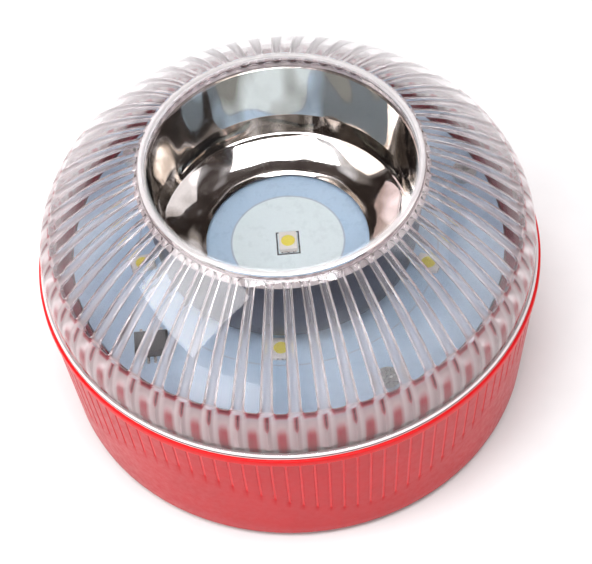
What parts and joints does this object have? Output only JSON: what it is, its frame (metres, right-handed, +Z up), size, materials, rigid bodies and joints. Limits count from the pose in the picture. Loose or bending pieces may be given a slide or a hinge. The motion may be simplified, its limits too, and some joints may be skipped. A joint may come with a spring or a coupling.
{
  "type": "led safety flare",
  "caption": "Round roadside warning light: clear ribbed dome over a chrome torch reflector and light board, on a red drum base with a magnet in its twist-off battery cover.",
  "frame": {"origin": "centre of the foot ring's underside, on the surface that the light stands on", "axes": "+Z up through the middle of the lens window, -Y the side seen first, +Y the side with the power button"},
  "size_m": [0.0778, 0.0778, 0.0473],
  "materials": {
    "lens_clear": "clear polished plastic",
    "reflector_chrome": "bright vacuum-plated plastic",
    "base_red": "satin moulded plastic",
    "board_white": "pale solder mask",
    "lamp_body": "satin",
    "phosphor": "cured resin",
    "chip_black": "moulded epoxy",
    "tinned_metal": "tinned",
    "ceramic": "sintered ceramic",
    "screw_steel": "zinc plated",
    "seal_rubber": "moulded rubber",
    "seal_silicone": "pale silicone",
    "insulator": "fibre sheet",
    "battery_jacket": "printed steel jacket",
    "snap_black": "moulded plastic",
    "contact_brass": "bright",
    "lead_red": "wire insulation",
    "lead_black": "wire insulation",
    "magnet_nickel": "nickel plated",
    "cup_steel": "zinc plated",
    "button_dark": "soft rubber",
    "switch_tin": "pressed"
  },
  "bodies": {
    "housing": {"base_housing": "base_red", "lens_cover": "lens_clear", "reflector_cup": "reflector_chrome", "light_board": "board_white", "torch_led": "lamp_body", "ring_leds": "lamp_body", "torch_phosphor": "phosphor", "ring_phosphors": "phosphor", "driver_chip": "chip_black", "driver_pins": "tinned_metal", "resistors": "chip_black", "capacitors": "ceramic", "power_inductor": "chip_black", "polarity_diode": "chip_black", "board_screws": "screw_steel", "lens_gasket": "seal_silicone", "foot_ring": "seal_rubber", "insulating_sheet": "insulator", "battery": "battery_jacket", "battery_terminals": "switch_tin", "battery_snap": "snap_black", "snap_contacts": "contact_brass", "positive_lead": "lead_red", "negative_lead": "lead_black", "switch_board": "board_white", "switch_body": "snap_black"},
    "cover": {"battery_cover": "base_red", "cover_seal": "seal_rubber", "magnet_cup": "cup_steel", "magnet": "magnet_nickel"},
    "button": {"power_button": "button_dark"},
    "plunger": {"switch_plunger": "chip_black"}
  },
  "joints": [
    {"name": "cover_twist", "type": "hinge", "parent": "housing", "child": "cover", "pos_m": [0, 0, 0], "axis": [0, 0, 1], "range_deg": [0, 30]},
    {"name": "button_press", "type": "slide", "parent": "housing", "child": "button", "axis": [0, -1, 0], "range_m": [0, 0.0005], "stiffness_N_per_m": 3000},
    {"name": "plunger_press", "type": "slide", "parent": "housing", "child": "plunger", "axis": [0, -1, 0], "range_m": [0, 0.0005]}
  ],
  "couplings": [
    {"joint": "plunger_press", "follows": "button_press", "ratio": 1}
  ]
}
